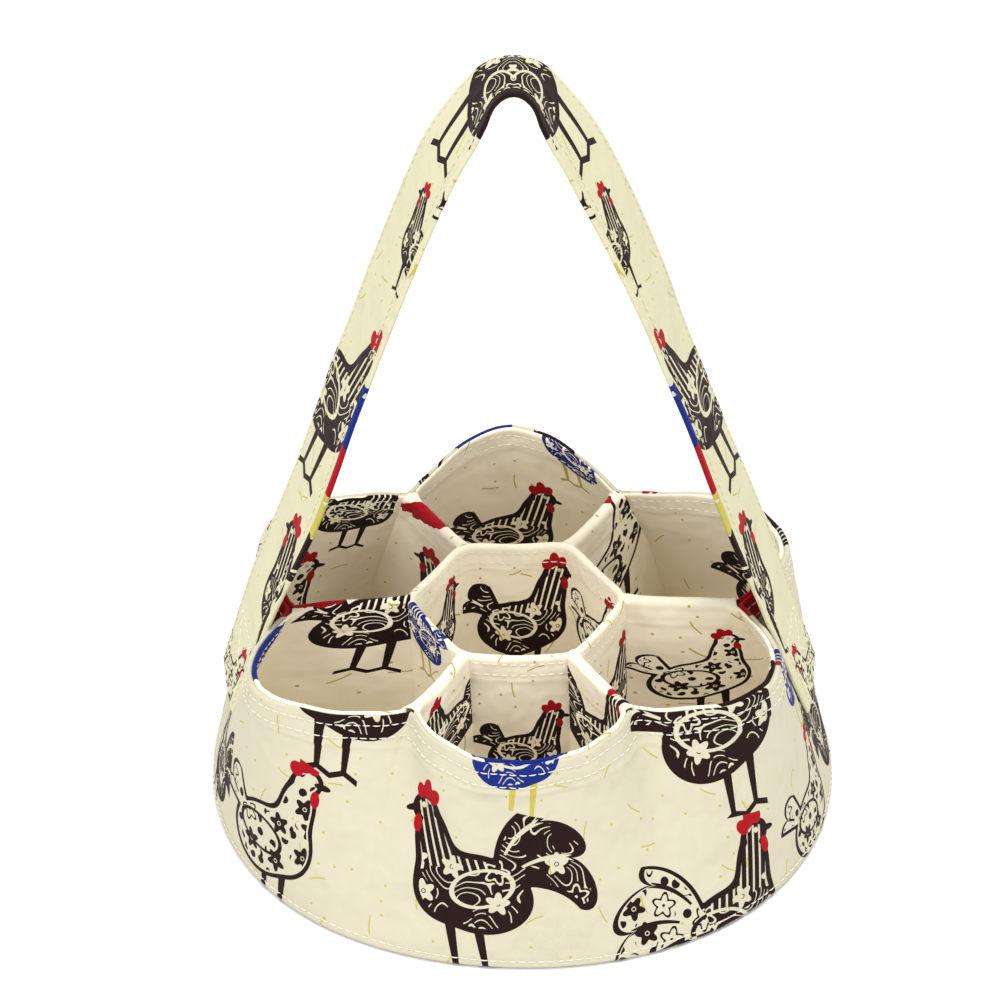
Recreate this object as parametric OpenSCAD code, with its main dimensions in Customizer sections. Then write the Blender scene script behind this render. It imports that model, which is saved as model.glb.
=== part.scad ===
// Egg collection basket sewn from printed cotton: a round flat base, a wall that leans
// in from the base to a scalloped rim, seven hexagonal cells and one wide strap handle.
// Millimetres. The origin is the middle of the base's underside, +Z is up, the strap's
// two sewn ends are on the X axis and the front of the basket faces -Y.

/* [Base] */
// Diameter of the round base
base_d = 250; // [230:1:270]
// Thickness of one layer of printed cotton with its turned seam
fabric_t = 1.4; // [1:0.1:1.6]
// Thickness of the felt disc between the two layers of the base
felt_t = 1.8; // [1:0.1:2.5]

/* [Wall and cells] */
// Height of the rim above the floor
rim_h = 80; // [70:1:90]
// Length of one side of a hexagonal cell
cell_side = 42.5; // [40:0.5:44]
// How far the middle of each scallop stands from the basket's axis
rim_reach = 110; // [106:1:112]
// How soft the corners of the scallops are, a higher number being sharper
corner_power = 12; // [8:1:20]
// How the wall swells below the rim, 1 being a straight slope
wall_swell = 1.4; // [1:0.1:1.8]

/* [Strap handle] */
// Width of the strap
strap_w = 38; // [30:1:40]
// Lean of the strap's legs from upright, in degrees
strap_lean = 20.8; // [19:0.1:22]
// Radius of the strap's middle line over the crown
crown_r = 20.5; // [16:0.5:26]
// Height of the strap's lower edge above the floor
strap_foot_h = 37; // [32:1:42]
// How far the sewn length of the strap stands above the rim before it flexes
strap_free_h = 4; // [3:0.5:8]

/* [Stitching] */
// Thickness of the sewing thread
thread_d = 0.7; // [0.5:0.1:0.9]
// Distance of the upper row of topstitching below the rim
row_1 = 4; // [3:0.5:5]
// Distance of the lower row of topstitching below the rim
row_2 = 9; // [7:0.5:11]

/* [Hidden] */

$fn = 64;
cream = "#F3EDD0";
deep_cream = "#E8DFBE";
strap_cream = "#E8E6C8";
felt_white = "#F4F2EA";
thread_white = "#FFFFFF";

cells = 6;
sector = 360 / cells;
columns = 12;
levels = 8;
thread_sides = 6;
crown_steps = 24;
ease = 0.25;
lining_gap = 0.6;
thread_gap = 0.3;

base_r = base_d / 2;
cell_pitch = sqrt(3) * cell_side;
double_t = 2 * fabric_t;

felt_z = fabric_t + ease;
lining_z = felt_z + felt_t + ease;
floor_z = lining_z + fabric_t + ease;
sleeve_r = cell_side + fabric_t / cos(30);
sleeve_bore_r = cell_side - fabric_t / cos(30);
divider_top = rim_h - 1;
level_h = rim_h / levels;
wall_angles = [for (i = [0 : cells * columns - 1]) i * sector / columns];

// Angle from the nearest valley of the rim, 0 at a valley and 30 at a scallop's middle
function from_valley(a) = let (m = (a % sector + sector) % sector) min(m, sector - m);

// The rim's outline: two sides of a hexagon rounded into an arc round the basket
function rim_r(a) =
    let (side = cell_pitch / cos(30 + from_valley(a)))
    pow(pow(side, -corner_power) + pow(rim_reach, -corner_power), -1 / corner_power);

// Radius of the wall's outer face at angle a on one of its levels
function level_r(a, level) =
    base_r - (base_r - rim_r(a)) * pow(level / levels, wall_swell);

// The same radius at any height z, which is straight from one level to the next
function wall_r(a, z) =
    let (level = min(floor(z / level_h), levels - 1), part = z / level_h - level)
    level_r(a, level) * (1 - part) + level_r(a, level + 1) * part;

function polar(r, a, z) = [r * cos(a), r * sin(a), z];

// The strap's middle plane at the height z of a leg, found from where the strap's edges
// lie on the wall at its foot
function wall_x_at(y, z) = let (a = asin(y / base_r)) wall_r(a, z) * cos(a);
strap_foot_x = wall_x_at(strap_w / 2, strap_foot_h) + 1 + double_t / 2 / cos(strap_lean);
function strap_x(z) = strap_foot_x - (z - strap_foot_h) * tan(strap_lean);

// The crown's centre is where an arc of crown_r touches both legs
crown_z = strap_foot_h + (strap_foot_x - crown_r / cos(strap_lean)) / tan(strap_lean);
strap_end_z = rim_h + strap_free_h;
pivot_z = strap_end_z + 0.4 + strap_w / 2;

// Faces between neighbouring rings of m points each
function side_faces(rings, m, closed) = [
    for (i = [0 : rings - (closed ? 1 : 2)], k = [0 : m - 1])
        let (
            next = ((i + 1) % rings) * m,
            a = i * m + k,
            b = i * m + (k + 1) % m,
            c = next + (k + 1) % m,
            d = next + k
        )
        each [[a, b, c], [a, c, d]]
];

// Flat ends of a panel whose rings run up its outer face and down its inner one
function end_faces(rings, m) = [
    for (j = [0 : m / 2 - 2])
        let (s = (rings - 1) * m, o = j, p = m - 1 - j)
        each [
            [o, p, p - 1], [o, p - 1, o + 1],
            [s + o, s + p - 1, s + p], [s + o, s + o + 1, s + p - 1]
        ]
];

// A stretch of curved wall through the given angles, from z0 up to the rim. It starts
// inset inside the basket's outer face and is one layer thick.
module wall_panel(angles, z0, inset, closed) {
    heights = [for (j = [0 : levels]) max(z0, level_h * j)];
    m = 2 * (levels + 1);
    points = [
        for (a = angles)
            each concat(
                [for (j = [0 : levels])
                    polar(wall_r(a, heights[j]) - inset, a, heights[j])],
                [for (j = [levels : -1 : 0])
                    polar(wall_r(a, heights[j]) - inset - fabric_t, a, heights[j])]
            )
    ];
    rings = len(angles);
    faces = concat(side_faces(rings, m, closed), closed ? [] : end_faces(rings, m));
    polyhedron(points, faces, convexity = 10);
}

// A row of thread on the outside of the wall at height z
module wall_thread(z) {
    points = [
        for (a = wall_angles, k = [0 : thread_sides - 1])
            let (
                t = 360 * k / thread_sides,
                r = wall_r(a, z) + thread_gap + thread_d / 2 * (1 + cos(t))
            )
            polar(r, a, z + thread_d / 2 * sin(t))
    ];
    polyhedron(points, side_faces(len(wall_angles), thread_sides, true), convexity = 10);
}

module base_outer() {
    color(cream)
    cylinder(r = base_r - fabric_t - 1, h = fabric_t);
}

module base_felt() {
    color(felt_white)
    translate([0, 0, felt_z])
    cylinder(r = base_r - fabric_t - 4, h = felt_t);
}

module base_lining() {
    color(deep_cream)
    translate([0, 0, lining_z])
    cylinder(r = base_r - fabric_t - 2.5, h = fabric_t);
}

module outer_wall() {
    color(cream)
    wall_panel(wall_angles, 0, 0, true);
}

// The inner layer of the wall in one outer cell, between two dividers
module cell_lining(index) {
    margin = 1.6;
    angles = [
        for (i = [0 : columns])
            sector * index + max(margin, min(sector - margin, i * sector / columns))
    ];
    color(deep_cream)
    wall_panel(angles, floor_z, fabric_t + lining_gap, false);
}

// A double wall from a corner of the centre sleeve out to a valley of the rim
module divider(index) {
    inner = sleeve_r + ease;
    gap = fabric_t + 2 * ease;
    outline = concat(
        [[inner, divider_top], [inner, floor_z]],
        [for (j = [0 : levels])
            let (z = floor_z + (divider_top - floor_z) * j / levels)
            [wall_r(0, z) - gap, z]]
    );
    color(deep_cream)
    rotate(sector * index)
    rotate([90, 0, 0])
    linear_extrude(double_t, center = true)
    polygon(outline);
}

module centre_sleeve() {
    color(deep_cream)
    translate([0, 0, floor_z])
    linear_extrude(rim_h - floor_z)
    difference() {
        circle(r = sleeve_r, $fn = 6);
        circle(r = sleeve_bore_r, $fn = 6);
    }
}

// Side view of the strap at a distance from its middle line, outward being positive:
// up the right leg, over the crown and down the left leg
function strap_line(distance) = concat(
    [[strap_foot_x, strap_foot_h] + distance * [cos(strap_lean), sin(strap_lean)]],
    [for (i = [0 : crown_steps])
        let (a = strap_lean + (180 - 2 * strap_lean) * i / crown_steps)
        [0, crown_z] + (crown_r + distance) * [cos(a), sin(a)]],
    [[-strap_foot_x, strap_foot_h] + distance * [-cos(strap_lean), sin(strap_lean)]]
);

function reversed(list) = [for (i = [len(list) - 1 : -1 : 0]) list[i]];

module strap_profile(from, to) {
    polygon(concat(strap_line(to), reversed(strap_line(from))));
}

module strap_band(from, to, width) {
    rotate([90, 0, 0])
    linear_extrude(width, center = true)
    strap_profile(from, to);
}

// The part of the strap that swings, with each end rounded about the swing's axis
module swinging_zone(width) {
    across = 2 * base_r;
    translate([0, 0, pivot_z])
    rotate([0, 90, 0])
    cylinder(d = width, h = across, center = true);
    translate([-base_r, -width / 2, pivot_z])
    cube([across, width, 2 * across]);
}

module strap_outer_layer() {
    color(strap_cream)
    intersection() {
        strap_band(0.05, fabric_t, strap_w);
        swinging_zone(strap_w);
    }
}

module strap_inner_layer() {
    color(cream)
    intersection() {
        strap_band(-fabric_t, -0.05, strap_w);
        swinging_zone(strap_w);
    }
}

// One end of the strap, both layers sewn flat together against the wall
module strap_end(side) {
    color(strap_cream)
    intersection() {
        strap_band(-fabric_t, fabric_t, strap_w);
        translate([side > 0 ? 0 : -2 * base_r, -strap_w, strap_foot_h + 0.5])
        cube([2 * base_r, 2 * strap_w, strap_end_z - strap_foot_h - 0.5]);
    }
}

// A box of thread with a cross in it, on the outside of one end of the strap
module tack_stitches(side) {
    inset = 4;
    w = strap_w - 2 * inset;
    h = 26;
    diagonal = sqrt(w * w + h * h);
    tilt = atan(h / w);
    color(thread_white)
    scale([side, 1, 1])
    translate([strap_x(strap_foot_h + 6), 0, strap_foot_h + 6])
    rotate([0, -strap_lean, 0])
    translate([fabric_t + 0.05 + thread_d / 2, 0, h / 2]) {
        for (s = [-1, 1]) {
            translate([0, s * w / 2, 0])
            cube([thread_d, thread_d, h + thread_d], center = true);
            translate([0, 0, s * h / 2])
            cube([thread_d, w + thread_d, thread_d], center = true);
            rotate([s * tilt, 0, 0])
            cube([thread_d, diagonal, thread_d], center = true);
        }
    }
}

module base_stitches() {
    seam_z = 3;
    color(thread_white)
    translate([0, 0, seam_z])
    rotate_extrude()
    translate([base_r + thread_d / 2, 0])
    circle(d = thread_d);
}

module rim_stitches(drop) {
    color(thread_white)
    wall_thread(rim_h - drop);
}

// Two rows of thread on each face of every divider
module divider_stitches() {
    start = sleeve_r + 1;
    length = rim_r(0) - fabric_t - 3 - start;
    color(thread_white)
    for (index = [0 : cells - 1], face = [-1, 1], drop = [row_1, row_2])
        rotate(sector * index)
        translate([start, face * (fabric_t + 0.05 + thread_d / 2), divider_top - drop])
        translate([length / 2, 0, 0])
        cube([length, thread_d, thread_d], center = true);
}

// Two rows of thread round the inside of the centre sleeve
module centre_stitches() {
    color(thread_white)
    for (drop = [row_1, row_2])
        translate([0, 0, rim_h - drop])
        linear_extrude(thread_d)
        difference() {
            circle(r = sleeve_bore_r - 0.1, $fn = 6);
            circle(r = sleeve_bore_r - 0.1 - thread_d, $fn = 6);
        }
}

// A row of thread near the front and the back edge of the swinging part of the strap
module strap_edge_stitches() {
    inset = 3.5;
    color(thread_white)
    for (s = [-1, 1])
        intersection() {
            translate([0, s * (strap_w / 2 - inset), 0])
            strap_band(fabric_t + 0.05, fabric_t + 0.05 + thread_d, thread_d);
            swinging_zone(strap_w - 1);
        }
}

base_outer();
base_felt();
base_lining();
outer_wall();
cell_lining(0);  // lining_right_back
cell_lining(1);  // lining_back
cell_lining(2);  // lining_left_back
cell_lining(3);  // lining_left_front
cell_lining(4);  // lining_front
cell_lining(5);  // lining_right_front
divider(0);  // divider_right
divider(1);  // divider_back_right
divider(2);  // divider_back_left
divider(3);  // divider_left
divider(4);  // divider_front_left
divider(5);  // divider_front_right
centre_sleeve();
strap_end(-1);  // strap_end_left
strap_end(1);  // strap_end_right
strap_outer_layer();
strap_inner_layer();
tack_stitches(-1);  // tack_stitches_left
tack_stitches(1);  // tack_stitches_right
base_stitches();
rim_stitches(row_1);  // rim_stitches_upper
rim_stitches(row_2);  // rim_stitches_lower
divider_stitches();
centre_stitches();
strap_edge_stitches();
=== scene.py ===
# Egg collection basket: the cloth pieces, their print and their sewing thread, built round
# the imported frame. Lengths are in millimetres until a mesh is made.
import bpy
import math
import numpy as np
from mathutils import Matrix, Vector


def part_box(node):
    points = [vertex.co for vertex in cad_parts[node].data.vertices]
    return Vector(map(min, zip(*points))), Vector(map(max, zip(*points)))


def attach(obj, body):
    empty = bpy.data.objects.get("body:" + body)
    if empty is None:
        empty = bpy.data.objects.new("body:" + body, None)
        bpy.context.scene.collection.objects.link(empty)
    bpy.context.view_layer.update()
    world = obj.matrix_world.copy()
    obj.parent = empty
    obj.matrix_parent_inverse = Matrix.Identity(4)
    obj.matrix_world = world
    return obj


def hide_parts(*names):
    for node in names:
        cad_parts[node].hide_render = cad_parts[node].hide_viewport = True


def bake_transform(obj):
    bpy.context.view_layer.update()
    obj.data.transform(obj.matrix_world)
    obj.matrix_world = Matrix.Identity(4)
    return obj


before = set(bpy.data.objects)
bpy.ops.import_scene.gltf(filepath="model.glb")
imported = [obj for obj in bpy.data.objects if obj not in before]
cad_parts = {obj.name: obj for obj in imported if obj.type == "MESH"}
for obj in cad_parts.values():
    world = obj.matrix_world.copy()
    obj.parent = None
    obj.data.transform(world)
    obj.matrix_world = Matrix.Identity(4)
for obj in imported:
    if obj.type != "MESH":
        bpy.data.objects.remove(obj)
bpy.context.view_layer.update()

MM = 0.001
rng = np.random.default_rng(7)  # only stitches() draws from it


def box_mm(node):
    low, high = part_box(node)
    return np.array(low) / MM, np.array(high) / MM


# ---- sizes from the frame
BASE_R = box_mm("outer_wall")[1][0]
RIM_H = box_mm("outer_wall")[1][2]
CLOTH = box_mm("base_outer")[1][2]
FELT_LOW, FELT_HIGH = box_mm("base_felt")[0][2], box_mm("base_felt")[1][2]
FLOOR_Z = box_mm("base_lining")[1][2]
SLEEVE_R = box_mm("centre_sleeve")[1][0]
CELL_SIDE = SLEEVE_R - CLOTH / math.cos(math.radians(30))
PITCH = math.sqrt(3) * CELL_SIDE
STRAP_W = box_mm("strap_outer_layer")[1][1] * 2
STRAP_TOP = box_mm("strap_outer_layer")[1][2]
STRAP_FOOT = box_mm("strap_end_right")[0][2]

CELLS = ["right_back", "back", "left_back", "left_front", "front", "right_front"]
DIVIDERS = ["right", "back_right", "back_left", "left", "front_left", "front_right"]
# How far each scallop stands from the axis, how much it rises, and how far the rim leans
REACH = np.array([115.5, 114.0, 110.5, 115.0, 103.0, 110.0])
LIFT = np.array([0.8, 7.0, 1.2, 0.3, -0.6, 0.0])
LEAN_X = -2.6

# Rows of topstitching below a fold, and the thickness of the cloth and its folds
ROW_1, ROW_2 = 4.0, 9.0
HEM = 11.5
WALL_T = 0.75
INNER_T = 0.8
BASE_T = 1.0
FOLD_R = 1.7
RIM_FOLD_R = 0.9
INNER_Z = FLOOR_Z + 0.2

# Radius at which a round piece's print is unrolled, the width of a divider's print, and
# the step from one piece's print to the next in the map that the inner pieces share
WALL_PRINT_R, LINING_PRINT_R, SLEEVE_PRINT_R = 118, 108, 41
DIVIDER_PRINT_W = 38
PRINT_STEP = 400

# ---- camera, light, floor
# The camera was fitted to the photo's picture of 1000 pixels
PICTURE_PX = 1000
ELEVATION, AZIMUTH, DISTANCE = math.radians(34.23), math.radians(0.68), 1.400
AIM = Vector((-8.94 * MM, 0.0, 124.89 * MM))
FOCAL_PX, SENSOR = 3696.0, 36.0
forward = Vector((
    math.sin(AZIMUTH) * math.cos(ELEVATION),
    math.cos(AZIMUTH) * math.cos(ELEVATION),
    -math.sin(ELEVATION),
))
camera_data = bpy.data.cameras.new("camera")
camera_data.sensor_width = SENSOR
camera_data.lens = FOCAL_PX / PICTURE_PX * SENSOR
camera = bpy.data.objects.new("camera", camera_data)
camera.location = AIM - forward * DISTANCE
camera.rotation_mode = "QUATERNION"
camera.rotation_quaternion = forward.to_track_quat("-Z", "Y")
bpy.context.scene.collection.objects.link(camera)
bpy.context.scene.camera = camera
bpy.context.scene.view_settings.view_transform = "Standard"


def area_light(name, place, target, size, power):
    data = bpy.data.lights.new(name, "AREA")
    data.shape = "DISK"
    data.size = size
    data.energy = power
    light = bpy.data.objects.new(name, data)
    light.location = place
    light.rotation_mode = "QUATERNION"
    aim = Vector(target) - Vector(place)
    light.rotation_quaternion = aim.to_track_quat("-Z", "Y")
    bpy.context.scene.collection.objects.link(light)


area_light("softbox_left", (-1.55, -1.15, 1.35), (0, 0, 0.06), 1.4, 16.5)
area_light("softbox_right", (1.45, -1.25, 1.25), (0, 0, 0.06), 1.4, 12)
area_light("top", (0.05, -0.25, 2.1), (0, 0, 0.05), 1.0, 20)
world = bpy.data.worlds.new("world")
world.use_nodes = True
sky = world.node_tree.nodes["Background"]
sky.inputs["Color"].default_value = (1, 1, 1, 1)
sky.inputs["Strength"].default_value = 0.72
bpy.context.scene.world = world


# ---- node formulas
def linear(hex_colour):
    """A screen colour as the shaders take it."""
    out = []
    for i in (0, 2, 4):
        c = int(hex_colour[i:i + 2], 16) / 255
        out.append(c / 12.92 if c <= 0.04045 else ((c + 0.055) / 1.055) ** 2.4)
    return (*out, 1.0)


# One cotton is given two grounds. CREAM, outside, is set a little darker: painted shade against the
# stronger light there. The inside ground is far lighter and warmer: painted light that lifts the
# shade inside the cells.
CREAM = linear("CDC6AE")
INSIDE_CREAM_PAINTED_LIGHT = linear("FFF4DD")
STRAP_CREAM = linear("D2CDAC")
INK = linear("1F0C09")
RED = linear("A20416")
BLUE = linear("112676")
OLIVE = linear("BAB152")


class Wire:
    """One output socket, which sums and products can be written with."""

    def __init__(self, net, socket):
        self.net = net
        self.socket = socket

    def __add__(self, other): return self.net.math("ADD", self, other)
    def __radd__(self, other): return self.net.math("ADD", other, self)
    def __sub__(self, other): return self.net.math("SUBTRACT", self, other)
    def __mul__(self, other): return self.net.math("MULTIPLY", self, other)
    def __lt__(self, other): return self.net.math("LESS_THAN", self, other)
    def __gt__(self, other): return self.net.math("GREATER_THAN", self, other)
    def __abs__(self): return self.net.math("ABSOLUTE", self)


class Net:
    """Adds nodes to one tree."""

    def __init__(self, tree):
        self.tree = tree

    def feed(self, socket, value):
        if isinstance(value, Wire):
            self.tree.links.new(value.socket, socket)
        elif value is not None:
            socket.default_value = value

    def put(self, kind, values=(), out=0, **settings):
        node = self.tree.nodes.new(kind)
        for key, value in settings.items():
            setattr(node, key, value)
        pairs = values.items() if isinstance(values, dict) else enumerate(values)
        for socket, value in pairs:
            self.feed(node.inputs[socket], value)
        return Wire(self, node.outputs[out])

    def math(self, operation, *values):
        return self.put("ShaderNodeMath", values, operation=operation)

    def vector(self, operation, *values, out=0):
        return self.put("ShaderNodeVectorMath", values, out=out, operation=operation)

    def split(self, vector):
        node = self.tree.nodes.new("ShaderNodeSeparateXYZ")
        self.feed(node.inputs[0], vector)
        return [Wire(self, o) for o in node.outputs]

    def join(self, x, y, z=0.0):
        return self.put("ShaderNodeCombineXYZ", (x, y, z))

    def place(self, vector, location, turn=0.0, scale=(1, 1, 1)):
        return self.put(
            "ShaderNodeMapping",
            (vector, location, (0, 0, math.radians(turn)), scale),
            vector_type="TEXTURE",
        )

    def choose(self, share, first, second, kind="RGBA"):
        """first where share is 0, second where it is 1."""
        node = self.tree.nodes.new("ShaderNodeMix")
        node.data_type = kind
        start = {"FLOAT": 2, "VECTOR": 4, "RGBA": 6}[kind]
        out = {"FLOAT": 0, "VECTOR": 1, "RGBA": 2}[kind]
        self.feed(node.inputs[0], share)
        self.feed(node.inputs[start], first)
        self.feed(node.inputs[start + 1], second)
        return Wire(self, node.outputs[out])

    def ellipse(self, p, x, y, rx, ry, turn=0.0):
        """About the distance outside an ellipse, and below 0 inside it."""
        k = min(rx, ry)
        length = self.vector("LENGTH", self.place(p, (x, y, 0), turn, (rx, ry, 1)), out=1)
        return self.math("MULTIPLY_ADD", length, k, -k)

    def either(self, *masks):
        total = masks[0]
        for mask in masks[1:]:
            total = self.math("MAXIMUM", total, mask)
        return total


# Kinds of bird in the print. The number travels in a bird's third coordinate.
SPOTTED_HEN, DARK_HEN, BLUE_HEN, DARK_ROOSTER, PALE_ROOSTER = range(5)
BIRD_MIDDLE = 0.03  # height of a bird's middle in its own square


def bird_group():
    """A stock farmyard bird drawn by formulas, in a square from -1 to 1, facing +X."""
    tree = bpy.data.node_groups.new("bird", "ShaderNodeTree")
    tree.interface.new_socket("Place", in_out="INPUT", socket_type="NodeSocketVector")
    tree.interface.new_socket("Ground", in_out="INPUT", socket_type="NodeSocketColor")
    tree.interface.new_socket("Color", in_out="OUTPUT", socket_type="NodeSocketColor")
    net = Net(tree)
    entry = tree.nodes.new("NodeGroupInput")
    exit_node = tree.nodes.new("NodeGroupOutput")
    ground = Wire(net, entry.outputs["Ground"])
    x, y, kind = net.split(Wire(net, entry.outputs["Place"]))
    p = net.join(x, y)

    rooster = kind > 2.5
    pale = net.either(kind < 0.5, kind > 3.5)
    blue = abs(kind - 2.0) < 0.5

    # Body, breast, neck and head, run together
    shape = net.math(
        "SMOOTH_MIN",
        net.ellipse(p, -0.06, -0.11, 0.46, 0.35, 12),
        net.ellipse(p, 0.22, -0.05, 0.30, 0.32), 0.12,
    )
    shape = net.math("SMOOTH_MIN", shape, net.ellipse(p, 0.34, 0.27, 0.18, 0.37, -14), 0.16)
    shape = net.math("SMOOTH_MIN", shape, net.ellipse(p, 0.45, 0.60, 0.135, 0.115, 8), 0.05)

    # A fan of curled tail feathers, short on a hen
    tail_x, tail_y = x + 0.22, y + 0.02
    reach = net.math("SQRT", tail_x * tail_x + tail_y * tail_y)
    angle = net.math("ARCTAN2", tail_y, tail_x * -1.0)
    curl = net.math("MULTIPLY_ADD", rooster, 0.55, 0.15)
    bent = angle + curl * reach * reach
    lobe = abs(net.math("SINE", bent * 5.0))
    limit = net.math("MULTIPLY_ADD", rooster, 0.32, 0.56)
    rounded = net.math("MULTIPLY_ADD", net.math("POWER", lobe, 0.6), 0.20, 0.80)
    spread = net.math("MULTIPLY_ADD", rooster, 0.28, 0.46)
    fan = net.math(
        "MAXIMUM",
        reach - limit * rounded,
        (abs(bent - 0.78) - spread) * reach,
    )
    shape = net.math("SMOOTH_MIN", shape, fan, 0.03)
    inside = shape < 0.0
    deep = shape < -0.035
    outline = abs(shape) < 0.020

    # Feather edges in the tail and a wing drawn as one line
    wing = net.ellipse(p, -0.10, -0.06, 0.29, 0.17, -14)
    lines = net.either(
        abs(wing + 0.005) < 0.014,
        (lobe < 0.20) * (reach > 0.30) * (fan < 0.0),
    )

    # Flowers of five petals, some filled and some drawn as a line
    cell = tree.nodes.new("ShaderNodeTexVoronoi")
    cell.voronoi_dimensions = "2D"
    cell.inputs["Scale"].default_value = 3.1
    cell.inputs["Randomness"].default_value = 0.6
    net.feed(cell.inputs["Vector"], p)
    fx, fy, _ = net.split(net.vector("SUBTRACT", p, Wire(net, cell.outputs["Position"])))
    luck, luck_2, _ = net.split(Wire(net, cell.outputs["Color"]))
    radius = net.math("SQRT", fx * fx + fy * fy)
    petals = net.math("COSINE", net.math("ARCTAN2", fy, fx) * 5.0 + luck_2 * 6.0)
    rim = radius - net.math("MULTIPLY_ADD", petals, 0.024, 0.086)
    filled = (rim < 0.0) * (radius > 0.022) * (luck > 0.42)
    drawn = (abs(rim) < 0.012) * (luck < 0.42)
    flower = net.either(filled, drawn, radius < 0.014)
    far = rim > 0.035

    # Scrolls: thin lines of equal height in a smooth noise
    noise = net.put("ShaderNodeTexNoise", {"Vector": p, "Scale": 3.0, "Detail": 0.0})
    level = net.math("FRACT", noise * 11.0)
    scroll = (abs(level - 0.5) < 0.085) * far
    streaks = abs(net.math("FRACT", x * 13.0 - y * 3.5) - 0.5) < 0.15
    hackle = streaks * (y > 0.10) * (fan > 0.02)
    scroll = net.choose(y > 0.10, scroll, net.either(hackle, scroll * (fan < 0.0)), "FLOAT")
    dot = net.put(
        "ShaderNodeTexVoronoi", {"Vector": p, "Scale": 6.5, "Randomness": 0.9},
        out="Distance", voronoi_dimensions="2D", feature="F1",
    ) < 0.27
    marks_dark = net.either(flower * (luck_2 > 0.35), scroll, lines)
    marks_pale = net.either(flower, dot * (rim > 0.06), lines)
    light = net.choose(kind > 3.5, pale, fan < 0.012, "FLOAT")
    mark = net.choose(light, marks_dark, marks_pale, "FLOAT") * deep
    inked = net.choose(light, inside - mark, mark, "FLOAT")
    inked = net.either(inked, outline * (shape < 0.02))

    # Comb, wattle, beak and eye
    comb = net.ellipse(p, 0.345, 0.715, 0.060, 0.075, 30)
    comb = net.math("SMOOTH_MIN", comb, net.ellipse(p, 0.430, 0.775, 0.055, 0.090, 8), 0.03)
    comb = net.math("SMOOTH_MIN", comb, net.ellipse(p, 0.520, 0.745, 0.050, 0.070, -16), 0.03)
    red = net.math("MINIMUM", comb, net.ellipse(p, 0.535, 0.455, 0.045, 0.080)) < 0.0
    beak = net.ellipse(p, 0.60, 0.585, 0.080, 0.030, -12) < 0.0
    eye = net.vector("DISTANCE", p, (0.475, 0.625, 0.0), out=1) < 0.026

    # Two legs with three toes each
    leg_x = abs(x - 0.03 - (y + 0.8) * 0.12) - 0.12
    thick = 0.024 + (y + 0.8) * 0.05
    shin = (abs(leg_x) < thick) * (y < -0.34) * (y > -0.80)
    toe = (abs(y + 0.80 + abs(leg_x) * 0.45) < 0.026) * (abs(leg_x) < 0.13)
    legs = net.either(shin, toe)

    feather = net.choose(blue, INK, BLUE)
    colour = net.choose(legs, ground, net.choose(blue, INK, OLIVE))
    colour = net.choose(inside, colour, ground)
    colour = net.choose(inked, colour, feather)
    colour = net.choose(beak, colour, net.choose(blue, INK, OLIVE))
    colour = net.choose(red, colour, RED)
    colour = net.choose(eye, colour, CREAM)
    net.feed(exit_node.inputs["Color"], colour)
    return tree


BIRD = bird_group()


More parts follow.
